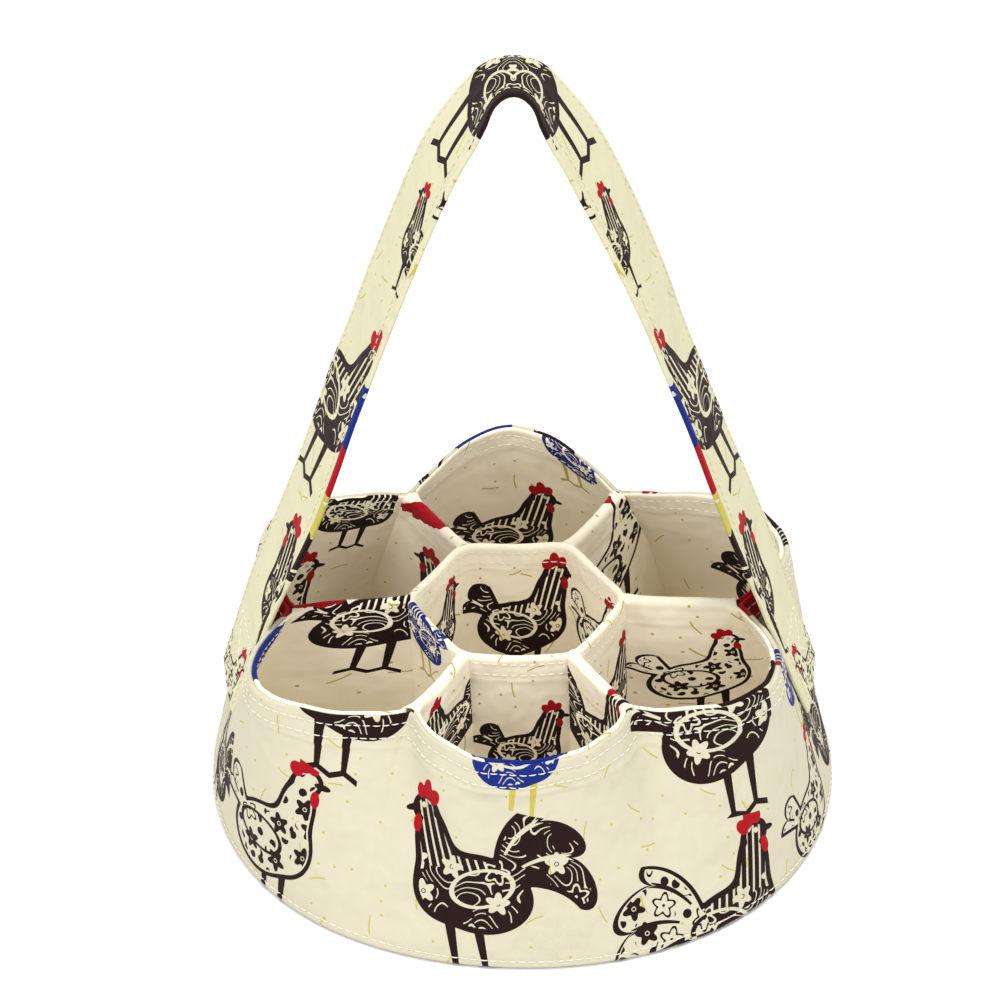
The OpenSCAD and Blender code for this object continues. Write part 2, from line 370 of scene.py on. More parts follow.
def print_material(name, ground_colour, birds, patches=()):
    """Printed cotton. Each bird is (x, y, size, turn, facing, kind) in the print's map, and
    each patch (x, y, half width, half height, colour) is part of a larger motif."""
    material = bpy.data.materials.new(name)
    material.use_nodes = True
    tree = material.node_tree
    net = Net(tree)
    shader = tree.nodes["Principled BSDF"]
    uv = net.put("ShaderNodeUVMap", uv_map="print")
    cloth = net.vector("SCALE", uv)
    cloth.socket.node.inputs["Scale"].default_value = 1000.0  # the map in mm
    u, v, _ = net.split(cloth)

    # Small strokes of grass and dots scattered over the ground
    cell = tree.nodes.new("ShaderNodeTexVoronoi")
    cell.voronoi_dimensions = "2D"
    cell.inputs["Scale"].default_value = 1 / 17
    net.feed(cell.inputs["Vector"], cloth)
    centre, chance = Wire(net, cell.outputs["Position"]), Wire(net, cell.outputs["Color"])
    gx, gy, _ = net.split(net.vector("SUBTRACT", cloth, centre))
    chance_a, chance_b, _ = net.split(chance)
    turn = chance_a * 3.1
    cosine, sine = net.math("COSINE", turn), net.math("SINE", turn)
    along, across = gx * cosine + gy * sine, gy * cosine - gx * sine
    arc = across + along * along * 0.03
    stroke = (abs(arc) < 0.28) * (abs(along) < 3.6) * (chance_b < 0.45)
    dots = tree.nodes.new("ShaderNodeTexVoronoi")
    dots.voronoi_dimensions = "2D"
    dots.inputs["Scale"].default_value = 1 / 7
    net.feed(dots.inputs["Vector"], cloth)
    dot_chance = net.split(Wire(net, dots.outputs["Color"]))[0]
    dot = (Wire(net, dots.outputs["Distance"]) < 0.075) * (dot_chance < 0.24)
    # Slow noise makes the ground between 3% darker and 2% lighter: partly painted shade of soft
    # wrinkles, partly the uneven tone of the cotton.
    wrinkle_shade_and_tone = net.put("ShaderNodeTexNoise", {"Vector": cloth, "Scale": 0.02, "Detail": 2.0})
    darker = [c * 0.97 for c in ground_colour[:3]] + [1]
    lighter = [min(1, c * 1.02) for c in ground_colour[:3]] + [1]
    ground = net.choose(wrinkle_shade_and_tone, darker, lighter)
    ground = net.choose(net.either(stroke, dot), ground, OLIVE)

    # The bird nearest to this point
    nearest = least = None
    for bx, by, size, turn_deg, facing, kind in birds:
        here = net.place(cloth, (bx, by, -kind), turn_deg, (size * facing, size, 1))
        gap = net.vector("DISTANCE", here, (0, BIRD_MIDDLE, kind), out=1)
        if nearest is None:
            nearest, least = here, gap
            continue
        nearest = net.choose(gap < least, nearest, here, "VECTOR")
        least = net.math("MINIMUM", least, gap)
    group = tree.nodes.new("ShaderNodeGroup")
    group.node_tree = BIRD
    net.feed(group.inputs["Place"], nearest)
    net.feed(group.inputs["Ground"], ground)
    colour = Wire(net, group.outputs["Color"])
    if patches:
        ragged = net.put(
            "ShaderNodeTexNoise", {"Vector": cloth, "Scale": 0.22, "Detail": 1.0}) - 0.5
    for px, py, rx, ry, patch_colour in patches:
        edge = net.ellipse(cloth, px, py, rx, ry) + ragged * 5.0
        colour = net.choose(edge < 0.0, colour, patch_colour)
    net.feed(shader.inputs["Base Color"], colour)

    # Twill weave and soft wrinkles
    twill = net.math("SINE", (u + v) * 7.4) * 0.5 + net.math("SINE", (u - v) * 14.0) * 0.25
    slubs = net.put("ShaderNodeTexNoise", {"Vector": cloth, "Scale": 1.2, "Detail": 1.0})
    weave = net.put(
        "ShaderNodeBump", {"Strength": 0.5, "Distance": 0.06 * MM, "Height": twill + slubs * 1.2})
    folds = net.put("ShaderNodeTexNoise", {"Vector": cloth, "Scale": 0.055, "Detail": 2.0})
    bump = net.put(
        "ShaderNodeBump", {"Strength": 0.7, "Distance": 4.5 * MM, "Height": folds, "Normal": weave})
    net.feed(shader.inputs["Normal"], bump)
    net.feed(shader.inputs["Roughness"], slubs * 0.16 + 0.74)
    shader.inputs["Sheen Weight"].default_value = 0.05
    shader.inputs["Sheen Roughness"].default_value = 0.5
    shader.inputs["Specular IOR Level"].default_value = 0.14
    return material


def fibre_material(name, colour, roughness, sheen, scale, detail, strength, depth):
    """A plain material with the small relief of its fibres."""
    material = bpy.data.materials.new(name)
    material.use_nodes = True
    net = Net(material.node_tree)
    shader = material.node_tree.nodes["Principled BSDF"]
    shader.inputs["Base Color"].default_value = colour
    shader.inputs["Roughness"].default_value = roughness
    shader.inputs["Sheen Weight"].default_value = sheen
    place = net.put("ShaderNodeTexCoord", out="Object")
    fibre = net.put("ShaderNodeTexNoise", {"Vector": place, "Scale": scale, "Detail": detail})
    bump = net.put(
        "ShaderNodeBump", {"Strength": strength, "Distance": depth * MM, "Height": fibre})
    net.feed(shader.inputs["Normal"], bump)
    return material


def floor_material():
    material = bpy.data.materials.new("floor")
    material.use_nodes = True
    shader = material.node_tree.nodes["Principled BSDF"]
    shader.inputs["Base Color"].default_value = (0.93, 0.93, 0.93, 1)
    shader.inputs["Roughness"].default_value = 0.9
    shader.inputs["Specular IOR Level"].default_value = 0.0
    return material


floor_mesh = bpy.data.meshes.new("floor")
floor_mesh.from_pydata([(-6, -6, 0), (6, -6, 0), (6, 6, 0), (-6, 6, 0)], [], [(0, 1, 2, 3)])
floor_mesh.materials.append(floor_material())
floor = bpy.data.objects.new("floor", floor_mesh)
floor.location.z = -0.6 * MM
bpy.context.scene.collection.objects.link(floor)


# ---- cloth sheets as grids
def unit(v):
    return v / np.maximum(np.linalg.norm(v, axis=-1, keepdims=True), 1e-9)


def grid_normals(points, wrap):
    """Normals of a grid; wrap joins its last column to its first."""
    if wrap:
        du = np.roll(points, -1, 0) - np.roll(points, 1, 0)
    else:
        du = np.gradient(points, axis=0)
    dv = np.gradient(points, axis=1)
    return unit(np.cross(du, dv))


def lay_lengths(points):
    """Distance run along each column of a grid, for the print's second coordinate."""
    steps = np.linalg.norm(np.diff(points, axis=1), axis=2)
    return np.concatenate([np.zeros((len(points), 1)), np.cumsum(steps, axis=1)], axis=1)


def sheet_object(name, points, u, v, thick, material, wrap=False):
    """A thin closed sheet. points is the seen face, u and v its print map, all in mm."""
    nu, nv = points.shape[:2]
    points = settle(points)
    back = points - grid_normals(points, wrap) * thick
    verts = np.concatenate([points.reshape(-1, 3), back.reshape(-1, 3)]) * MM
    iu = np.arange(nu if wrap else nu - 1)

    def grid(i, j):
        return (i % nu) * nv + j

    def edge(i, j, i_next, j_next, flip):
        """Closes the gap between the two faces along one edge of the grid."""
        a, b = grid(i, j), grid(i_next, j_next)
        here, there = np.stack([i, j], 1), np.stack([i_next, j_next], 1)
        order = slice(None, None, -1 if flip else 1)
        faces.append(np.stack([b, a, a + nu * nv, b + nu * nv], 1)[:, order])
        maps.append(np.stack([there, here, here, there], 1)[:, order])

    I, J = np.meshgrid(iu, np.arange(nv - 1), indexing="ij")
    I, J = I.ravel(), J.ravel()
    front = np.stack([grid(I, J), grid(I + 1, J), grid(I + 1, J + 1), grid(I, J + 1)], 1)
    cells = np.stack([I, J], 1)
    corners = np.stack([cells, cells + [1, 0], cells + [1, 1], cells + [0, 1]], 1)
    faces = [front, front[:, ::-1] + nu * nv]
    maps = [corners, corners[:, ::-1]]
    for j, flip in ((0, False), (nv - 1, True)):
        same = np.full(iu.shape, j)
        edge(iu, same, iu + 1, same, flip)
    if not wrap:
        jv = np.arange(nv - 1)
        for i, flip in ((0, True), (nu - 1, False)):
            same = np.full(jv.shape, i)
            edge(same, jv, same, jv + 1, flip)
    faces, maps = np.concatenate(faces), np.concatenate(maps)
    mesh = bpy.data.meshes.new(name)
    mesh.from_pydata(verts.tolist(), [], faces.tolist())
    layer = mesh.uv_layers.new(name="print")
    flat = maps.reshape(-1, 2)
    coordinates = np.stack([u[flat[:, 0], flat[:, 1]], v[flat[:, 0], flat[:, 1]]], 1) * MM
    layer.data.foreach_set("uv", coordinates.ravel().astype(np.float32))
    mesh.materials.append(material)
    mesh.polygons.foreach_set("use_smooth", [True] * len(mesh.polygons))
    mesh.set_sharp_from_angle(angle=math.radians(50))
    mesh.update()
    piece = bpy.data.objects.new(name, mesh)
    bpy.context.scene.collection.objects.link(piece)
    return piece


def settle(points):
    """The soft cloth leans a little to the left above the stiff base."""
    lean = LEAN_X * np.clip(points[..., 2] / RIM_H, 0, 1) ** 1.3
    return points + np.stack([lean, 0 * lean, 0 * lean], -1)


def extend(coordinate, wrap_length):
    """Adds the column that closes a wrapped grid's print map."""
    return np.concatenate([coordinate, coordinate[:1] + wrap_length], axis=0)


def finish_piece(
        piece, nodes, body="basket", cut=None):
    """Fits a piece to its nodes; cut, the flat size that a sheet was cut to in mm, is not used."""
    if body == "blend":
        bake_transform(piece)
    else:
        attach(piece, body)
    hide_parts(*nodes)
    if cut:
        cut[0] * MM
        cut[1] * MM


# ---- the wall
def smoothstep(low, high, value):
    """0 below low, 1 above high and a soft step between; low may be the greater."""
    t = np.clip((value - low) / (high - low), 0, 1)
    return t * t * (3 - 2 * t)


def from_valley(a):
    """Degrees from the nearest valley between two scallops, rounded off at the valley."""
    m = np.mod(a, 60)
    f = np.minimum(m, 60 - m)
    return np.sqrt(f * f + 2.0)


def per_cell(table, a):
    """The value of the cell that each azimuth lies in."""
    i = np.mod(np.floor(a / 60).astype(int), 6)
    return table[i]


def beside_strap(a, width):
    """1 at the strap's two ends, falling off over width degrees."""
    gap = np.abs(np.mod(a + 90, 180) - 90)
    return np.exp(-(gap / width) ** 2)


def rim_radius(a):
    """The scalloped rim: each cell's two hexagon sides, rounded into its reach."""
    behind = np.sin(np.radians(a)) > 0
    fuller = np.where(np.cos(np.radians(a)) > 0, 0.7, 0.2) * behind * beside_strap(a, 26)
    side = PITCH / np.cos(np.radians(np.minimum(30 + from_valley(a) * (1 + fuller), 60.8)))
    return np.power(side ** -10.0 + per_cell(REACH, a) ** -10.0, -0.1)


def rim_top(a):
    """Height of the rim, which dips where the strap pulls on it."""
    wander = 0.35 * np.sin(np.radians(a) * 12 + 0.5) + 0.25 * np.sin(np.radians(a) * 31 + 2)
    scallop = np.sin(np.radians(np.mod(a, 60) * 3)) ** 1.6
    dip = np.where(np.cos(np.radians(a)) > 0, 3.2, 4.6) * beside_strap(a, 9)
    return RIM_H - 1.2 + per_cell(LIFT, a) * scallop + wander - dip


# The fold below each valley: its lean in degrees per mm, width in degrees and depth
FOLDS = (
    (0.10, 2.6, 1.3), (-0.16, 3.2, 1.1), (0.20, 3.6, 1.0),
    (-0.08, 2.4, 1.2), (0.26, 4.6, 3.1), (-0.05, 3.8, 2.8),
)


def creases(a, z):
    """Soft folds that run down from the valleys, and a slow swell of the whole wall."""
    out = np.zeros(np.broadcast(a, z).shape)
    depth = np.clip((RIM_H - z) / RIM_H, 0, 1)
    for k, (lean, width, amount) in enumerate(FOLDS):
        line = 60 * k + lean * (RIM_H - z)
        gap = np.mod(a - line + 180, 360) - 180
        fade = np.exp(-((RIM_H - z) / 38.0) ** 2)
        out -= amount * np.exp(-(gap / width) ** 2) * fade
        gap = np.mod(a - line - 9 * np.sign(lean) + 180, 360) - 180
        out += 0.6 * amount * np.exp(-(gap / 4.5) ** 2) * fade * smoothstep(0.05, 0.25, depth)
    swell = np.sin(np.pi * np.clip(z / RIM_H, 0, 1))
    r = np.radians(a)
    out += swell * 2.8 * np.exp(-((np.mod(a, 360) - 182) / 26) ** 2)
    out += swell * (
        0.6 * np.sin(2 * r + 1) + 0.5 * np.sin(5 * r + 0.7) + 0.45 * np.sin(9 * r + 2 + z / 30))
    return out


def flank(a):
    """How much the two sides of the base are pressed in, and its front corners out."""
    front = np.abs(np.mod(a, 360) - 268)
    return 2.3 * np.abs(np.cos(np.radians(a))) ** 6 - 1.7 * np.exp(-((front - 38) / 24) ** 2)


def wall_radius(a, z):
    """The wall's outside at an azimuth in degrees and a height."""
    height = np.clip(z / RIM_H, 0, 1.1)
    foot = BASE_R - flank(a)
    return foot - (foot - rim_radius(a)) * height ** 1.12 + creases(a, z)


def polar(r, a, z):
    """Points at radius r, azimuth a in degrees and height z."""
    return np.stack([r * np.cos(np.radians(a)), r * np.sin(np.radians(a)), z + 0 * r], -1)


def hem_relief(d, amount=0.28):
    """How far a hem stands proud, d below its fold: two sewn grooves and a turned edge."""
    edge = smoothstep(12.2, 11.0, d)
    grooves = np.exp(-((d - ROW_1) / 0.9) ** 2) + np.exp(-((d - ROW_2) / 0.9) ** 2)
    return 0.45 * edge - amount * grooves


def puckers(u, d):
    """Small gathers along the two rows of stitches, u along the cloth and d below its fold."""
    rows = np.exp(-((d - ROW_1) / 1.8) ** 2) + np.exp(-((d - ROW_2) / 1.8) ** 2)
    return 0.10 * rows * (np.sin(u * 1.15) + 0.6 * np.sin(u * 0.71 + 1.0))


def build_wall():
    """The wall from under its seam at the base, up and over the rim, to the end of its hem."""
    columns = 720
    a = np.arange(columns) * 360 / columns
    seam = [
        (2.2, 0.35), (1.2, 0.2), (0.4, 0.45), (-0.15, 1.1), (-0.30, 2.0), (0.12, 3.2), (0.0, 4.4)]
    body = np.linspace(6.0, 66.0, 20)
    rows = []
    top = rim_top(a)
    u_mm = np.radians(a) * WALL_PRINT_R
    for inset, z in seam + [(0.0, z) for z in body]:
        z = np.full(columns, z)
        rows.append(polar(wall_radius(a, z) - inset, a, z))
    start = body[-1]
    for share in np.linspace(0, 1, 18)[1:]:
        z = start + (top - RIM_FOLD_R - start) * share
        d = top - z
        r = wall_radius(a, z) + hem_relief(d) + puckers(u_mm, d)
        rows.append(polar(r, a, z))
    last = wall_radius(a, top - RIM_FOLD_R)
    for phi in np.linspace(0, np.pi, 8)[1:-1]:
        r = last - RIM_FOLD_R + 0.2 + (RIM_FOLD_R + 0.25) * np.cos(phi)
        rows.append(polar(r, a, top - RIM_FOLD_R + RIM_FOLD_R * np.sin(phi)))
    for share in np.linspace(0, 1, 8):
        z = top - RIM_FOLD_R - (HEM - RIM_FOLD_R) * share
        rows.append(polar(wall_radius(a, z) - 2 * RIM_FOLD_R, a, z))
    points = np.stack(rows, 1)
    v = lay_lengths(points)
    v = v - v[:, 3:4]
    from_front = np.radians(np.mod(a - 90, 360)) - np.pi
    u = np.repeat(from_front[:, None] * WALL_PRINT_R, points.shape[1], 1)
    # The print's own seam is at the back
    shift = columns // 4
    points, v, u = np.roll(points, -shift, 0), np.roll(v, -shift, 0), np.roll(u, -shift, 0)
    return points, extend(u, 2 * np.pi * WALL_PRINT_R), extend(v, 0)


WALL_BIRDS = [
    (-85, 97, 45, 0, -1, DARK_HEN), (-163, 22, 34, 0, -1, DARK_ROOSTER),
    (-109, 25, 42, 8, 1, SPOTTED_HEN), (-21, 33, 43, 4, -1, DARK_ROOSTER),
    (-2, 88, 35, 0, 1, BLUE_HEN), (94, 77, 47, 0, 1, DARK_HEN),
    (77, 2, 43, 0, 1, PALE_ROOSTER), (136, 14, 34, 0, 1, SPOTTED_HEN),
    (152, 68, 30, 0, -1, BLUE_HEN), (188, 22, 40, 0, 1, DARK_ROOSTER),
    (240, 72, 32, 0, -1, DARK_HEN), (258, 18, 38, 0, 1, SPOTTED_HEN),
    (312, 56, 36, 0, -1, PALE_ROOSTER), (340, 4, 32, 0, 1, BLUE_HEN),
    (-206, 72, 33, 0, 1, SPOTTED_HEN), (-222, 2, 32, 0, -1, BLUE_HEN),
    (-268, 40, 40, 0, 1, DARK_ROOSTER), (-322, 10, 36, 0, -1, DARK_HEN),
    (-338, 76, 36, 0, 1, SPOTTED_HEN),
]
WALL_PATCHES = [
    (185, 80, 11, 9, RED), (-184, 79, 9, 6, RED), (-358, 86, 15, 4.5, BLUE),
    (350, 86, 10, 4, INK), (-246, 86, 22, 4.5, INK), (212, 86, 14, 4, INK),
]
INNER_BIRDS = [
    # Linings, each round its own middle
    (2, 34, 38, 0, 1, DARK_HEN),
    (396, 30, 34, 0, 1, DARK_HEN), (427, 88, 27, 0, -1, BLUE_HEN),
    (834, 76, 29, 0, 1, DARK_HEN), (800, 20, 40, 0, 1, SPOTTED_HEN),
    (1196, 40, 36, 0, 1, SPOTTED_HEN), (1610, 36, 38, 0, 1, DARK_ROOSTER),
    (2000, 44, 34, 0, -1, BLUE_HEN),
    # Dividers: each folds over at about 76, so the far face's birds are upside down here
    (2418, 112.5, 24, 180, -1, SPOTTED_HEN), (2416, 32, 34, 0, 1, DARK_HEN),
    (2819, 106, 38, 180, -1, SPOTTED_HEN), (2818, 34, 34, 0, 1, BLUE_HEN),
    (3202, 30, 36, 0, 1, DARK_ROOSTER), (3216, 116, 34, 180, -1, DARK_HEN),
    (3612, 68, 32, 0, -1, DARK_HEN), (3618, 122, 34, 180, -1, BLUE_HEN),
    (4012, 52, 26, 0, 1, DARK_HEN), (4016, 120, 34, 180, -1, SPOTTED_HEN),
    (4416, 102, 32, 180, -1, DARK_ROOSTER), (4418, 36, 34, 0, 1, SPOTTED_HEN),
    # The sleeve, outside and then inside
    (5040, 36, 30, 0, 1, DARK_HEN), (4945, 68, 24, 0, -1, BLUE_HEN),
    (4994, 30, 27, 0, 1, DARK_HEN), (4860, 38, 36, 0, 1, SPOTTED_HEN),
    (4863, 111, 36, 180, 1, DARK_HEN), (4908, 106, 26, 180, 1, DARK_HEN),
    (4822, 108, 30, 180, 1, SPOTTED_HEN), (5000, 112, 34, 180, 1, SPOTTED_HEN),
    # The floor
    (5262, 42, 36, 20, 1, DARK_HEN), (5140, -40, 34, -30, 1, SPOTTED_HEN),
    (5138, 60, 32, 0, -1, BLUE_HEN), (5256, -55, 32, 10, 1, DARK_ROOSTER),
    (5202, 4, 32, 0, 1, SPOTTED_HEN),
]
INNER_PATCHES = [
    (1224, 78, 22, 8, BLUE), (748, 78, 7, 10, RED), (52, 77, 7, 10, RED),
    (3622, 80.5, 18, 4.5, RED), (3226, 77, 12, 4.5, RED), (2006, 84, 20, 5, INK),
    (1600, 82, 20, 4, BLUE),
]
STRAP_BIRDS = [
    (-3, -4, 46, 0, 1, DARK_HEN), (-16, -73, 25, 0, 1, DARK_HEN),
    (6, -152, 48, 0, -1, DARK_HEN), (-22, -236, 37, 0, 1, DARK_HEN),
    (4, -292, 26, 0, -1, SPOTTED_HEN),
    # The strap's inner layer, whose print lies 300 to the right
    (300, -60, 30, 0, 1, SPOTTED_HEN), (304, -150, 32, 0, 1, BLUE_HEN),
    (300, -228, 34, 0, 1, DARK_HEN),
]
STRAP_PATCHES = [
    (282, 0, 6, 26, INK), (-19, 0, 7, 22, INK), (-18, -330, 5, 5, INK),
    (283, -149, 4.5, 15, BLUE), (283, -175, 4.5, 14, RED), (283, -196, 4.5, 10, OLIVE),
    (283, -212, 4, 9, INK),
]
wall_cotton = print_material("printed_cotton_wall", CREAM, WALL_BIRDS, WALL_PATCHES)
# The inside pieces take the lighter ground, painted light against the shade in the cells.
inner_cotton = print_material("printed_cotton_inside_painted_light", INSIDE_CREAM_PAINTED_LIGHT, INNER_BIRDS, INNER_PATCHES)
strap_cotton = print_material("printed_cotton_strap", STRAP_CREAM, STRAP_BIRDS, STRAP_PATCHES)
THREAD_LOOK = (0.55, 0.1, 2600.0, 1.0, 0.4, 0.08)
thread = fibre_material("thread", linear("E9E5D6"), *THREAD_LOOK)
strap_yarn = fibre_material("strap_yarn", linear("D8D4B2"), *THREAD_LOOK)
felt = fibre_material("felt", linear("EFECE2"), 0.95, 0.0, 900.0, 4.0, 0.7, 0.4)

wall_points, wall_u, wall_v = build_wall()
wall_piece = sheet_object(
    "wall_cloth", wall_points, wall_u, wall_v, WALL_T, wall_cotton, wrap=True)
finish_piece(
    wall_piece, ["outer_wall"], cut=(790, 103))


# ---- linings, dividers, sleeve
def build_lining(index):
    """The inner layer of the wall in one outer cell, with its own hem at the rim."""
    a = np.linspace(60 * index + 1.3, 60 * index + 58.7, 81)
    top = rim_top(a) + 0.25
    u_mm = np.radians(a) * LINING_PRINT_R
    share = (a - 60 * index) / 60
    rows = []

    def add(z, inset):
        z = np.broadcast_to(z, a.shape)
        rows.append(polar(wall_radius(a, z) - inset, a, z))

    heights = np.concatenate([np.linspace(0, 0.78, 24)[:-1], np.linspace(0.78, 1, 16)])
    for part in heights:
        z = INNER_Z + (top - RIM_FOLD_R - INNER_Z) * part
        d = top - z
        belly = 0.6 * np.sin(np.pi * share) ** 1.5 * np.sin(np.pi * np.clip(z / RIM_H, 0, 1))
        wave = np.abs(0.6 * np.sin(a * 0.23 + index) * np.sin(z * 0.07 + index * 2))
        foot = 3.0 * np.exp(-(z - INNER_Z) / 3.0)
        tucked = smoothstep(13.0, 10.5, d)
        inset = 2.6 + 0.95 * tucked + (belly + wave) * (1 - tucked) + foot
        add(z, inset + hem_relief(d) * 0.6 * tucked + puckers(u_mm, d))
    for phi in np.linspace(0, np.pi, 8)[1:-1]:
        add(top - RIM_FOLD_R + RIM_FOLD_R * np.sin(phi),
            1.9 + RIM_FOLD_R + (RIM_FOLD_R - 0.1) * np.cos(phi))
    for part in np.linspace(0, 1, 8):
        add(top - RIM_FOLD_R - (HEM - RIM_FOLD_R) * part, 1.9)
    points = np.stack(rows, 1)[::-1]
    v = lay_lengths(points) + INNER_Z
    from_middle = np.radians(60 * index + 30 - a) * LINING_PRINT_R
    u = np.repeat(from_middle[::-1, None], points.shape[1], 1)
    return points, u, v


def u_fold(middle, across, half, top_z, low_z):
    """A doubled sheet: up one side of a middle line, over a round fold and down again.
    middle(z) gives the line's points at height z, across its sideways directions, and
    half(d) half the fold's thickness d below the top."""
    out = []
    heights = np.concatenate([np.linspace(0, 1, 12)[:-1] * 0.80, np.linspace(0.80, 1, 15)])
    for share in heights:
        z = low_z + (top_z - FOLD_R - low_z) * share
        out.append(middle(z) + across * half(top_z - z)[:, None])
    w = half(np.full(len(top_z), FOLD_R))
    for phi in np.linspace(0, np.pi, 7)[1:-1]:
        z = top_z - FOLD_R + FOLD_R * np.sin(phi)
        out.append(middle(z) + across * (w * np.cos(phi))[:, None])
    for share in heights[::-1]:
        z = low_z + (top_z - FOLD_R - low_z) * share
        out.append(middle(z) - across * half(top_z - z)[:, None])
    return np.stack(out, 1)


def build_divider(index):
    """A doubled wall from a corner of the sleeve to a valley of the outer wall."""
    azimuth = math.radians(60 * index)
    out = np.array([math.cos(azimuth), math.sin(azimuth), 0.0])
    side = np.array([-math.sin(azimuth), math.cos(azimuth), 0.0])
    n = 46
    x = np.linspace(0, 1, n)
    start = hexagon_radius(0.0) + 0.2
    sag = 1.1 + 0.5 * math.sin(index * 2.1)
    dip = rim_top(np.array([60.0 * index]))[0] - RIM_H + 1.0
    top_z = RIM_H - 0.9 + 0.6 * np.exp(-(x / 0.12) ** 2)
    top_z = top_z - sag * np.sin(np.pi * x) ** 1.2 + min(0, dip) * x ** 4
    bend = 0.9 * math.sin(1.7 * index + 0.6)

    def middle(z):
        z = np.broadcast_to(z, (n,))
        end = wall_radius(np.full(n, 60.0 * index), z) - 2.1
        r = start + (end - start) * x
        sway = bend * np.sin(np.pi * x) * np.sin(np.pi * z / RIM_H)
        return r[:, None] * out + sway[:, None] * side + z[:, None] * np.array([0, 0, 1.0])

    flare = 0.5 * np.exp(-(x / 0.07) ** 2) + 1.5 * np.exp(-((1 - x) / 0.07) ** 2)

    def half(d):
        d = np.broadcast_to(d, (n,))
        ripple = 0.12 * np.sin(x * 40 + index) * np.exp(-((d - 6) / 5) ** 2)
        belly = 0.4 * np.sin(np.pi * x) * np.sin(np.pi * np.clip(d / 70, 0, 1))
        return 1.25 + flare + hem_relief(d, 0.2) * 0.8 + ripple + belly

    points = u_fold(middle, np.broadcast_to(side, (n, 3)), half, top_z, np.full(n, INNER_Z))
    v = lay_lengths(points)
    u = np.repeat((x * DIVIDER_PRINT_W)[:, None], points.shape[1], 1)
    return points, u, v


def hexagon_radius(theta):
    """The middle cell's hexagon with rounded corners."""
    apothem, power = CELL_SIDE * math.cos(math.radians(30)), 16.0
    total = 0
    for k in (30, 90, 150):
        total = total + np.abs(np.cos(np.radians(theta - k)) / apothem) ** power
    return total ** (-1 / power)


def build_sleeve():
    """The doubled tube of the middle cell."""
    n = 360
    theta = np.arange(n) * 1.0
    side = polar(np.ones(n), theta, np.zeros(n))
    corner = np.cos(np.radians(theta * 6)) * 0.5 + 0.5
    top_z = RIM_H - 1.3 + 0.9 * corner + 0.25 * np.sin(np.radians(theta * 2 + 40))

    def middle(z):
        z = np.broadcast_to(z, (n,))
        bow = 0.48 * (1 - corner) * np.sin(np.pi * np.clip(z / RIM_H, 0, 1))
        r = hexagon_radius(theta) + bow * np.sin(np.radians(theta * 3) + 0.5)
        return polar(r, theta, z)

    def half(d):
        d = np.broadcast_to(d, (n,))
        ripple = 0.1 * np.sin(np.radians(theta) * 47) * np.exp(-((d - 6) / 5) ** 2)
        return 1.3 + hem_relief(d, 0.2) * 0.8 + ripple

    points = u_fold(middle, side, half, top_z, np.full(n, INNER_Z))
    v = lay_lengths(points)
    u = np.repeat((np.radians(theta) * SLEEVE_PRINT_R)[:, None], points.shape[1], 1)
    return points, extend(u, 2 * np.pi * SLEEVE_PRINT_R), extend(v, 0)


def row_along(points, distance, wrap=False):
    """The line that lies a distance past the fold of each column, and its normals."""
    points = settle(points)
    normals = grid_normals(points, wrap)
    v = lay_lengths(points)
    place, direction = [], []
    for column, normal, run in zip(points, normals, v):
        target = run[np.argmax(column[:, 2])] + distance
        place.append([np.interp(target, run, column[:, k]) for k in range(3)])
        direction.append([np.interp(target, run, normal[:, k]) for k in range(3)])
    place, direction = np.array(place), unit(np.array(direction))
    if wrap:
        place = np.concatenate([place, place[:1]])
        direction = np.concatenate([direction, direction[:1]])
    return place, direction


# Each print map's place is a multiple of PRINT_STEP: linings, dividers, sleeve, floor
FIRST_DIVIDER = len(CELLS)
SLEEVE_PLACE = FIRST_DIVIDER + len(DIVIDERS)
stitch_rows = {name: [] for name in ("upper", "lower", "divider", "centre")}
for group, drop in (("upper", ROW_1), ("lower", ROW_2)):
    stitch_rows[group].append(row_along(wall_points, -drop, True))
for index, name in enumerate(CELLS):
    pts, u, v = build_lining(index)
    for group, drop in (("upper", ROW_1), ("lower", ROW_2)):
        stitch_rows[group].append(row_along(pts[2:-2], -drop))
    piece = sheet_object(
        "lining_cloth_" + name, pts, u + PRINT_STEP * index, v, INNER_T, inner_cotton)
    finish_piece(
        piece, ["lining_" + name], cut=(122, 94))
for index, name in enumerate(DIVIDERS):
    pts, u, v = build_divider(index)
    for drop in (-ROW_1, -ROW_2, ROW_1, ROW_2):
        stitch_rows["divider"].append(row_along(pts[2:-3], drop))
    piece = sheet_object(
        "divider_cloth_" + name, pts, u + PRINT_STEP * (FIRST_DIVIDER + index), v, INNER_T,
        inner_cotton)
    finish_piece(
        piece, ["divider_" + name], cut=(68, 152))
pts, u, v = build_sleeve()
for drop in (-ROW_1, -ROW_2, ROW_1, ROW_2):
    stitch_rows["centre"].append(row_along(pts, drop, True))
sleeve_piece = sheet_object(
    "sleeve_cloth", pts, u + PRINT_STEP * SLEEVE_PLACE, v, INNER_T, inner_cotton, wrap=True)
finish_piece(
    sleeve_piece, ["centre_sleeve"], cut=(258, 152))


# ---- the base
def build_disc(radius, z, face_up, relief):
    """A disc that follows the base's outline, with waves as high as relief."""
    n = 180
    theta = np.arange(n) * 360 / n
    r = np.linspace(0.6, radius, 60)
    T, R = np.meshgrid(theta, r, indexing="ij")
    waves = np.sin(R * 0.11 + np.radians(T) * 3) * np.sin(np.radians(T) * 5 + 1)
    lift = relief * waves * (R / radius)
    points = polar(R - flank(T) * R / radius, T, z + lift)
    # The seen face looks up when the rows run outward and the columns run clockwise
    if face_up:
        points, T, R = points[:, ::-1], T[:, ::-1], R[:, ::-1]
    u, v = R * np.cos(np.radians(T)), R * np.sin(np.radians(T))
    return points, np.concatenate([u, u[:1]]), np.concatenate([v, v[:1]])


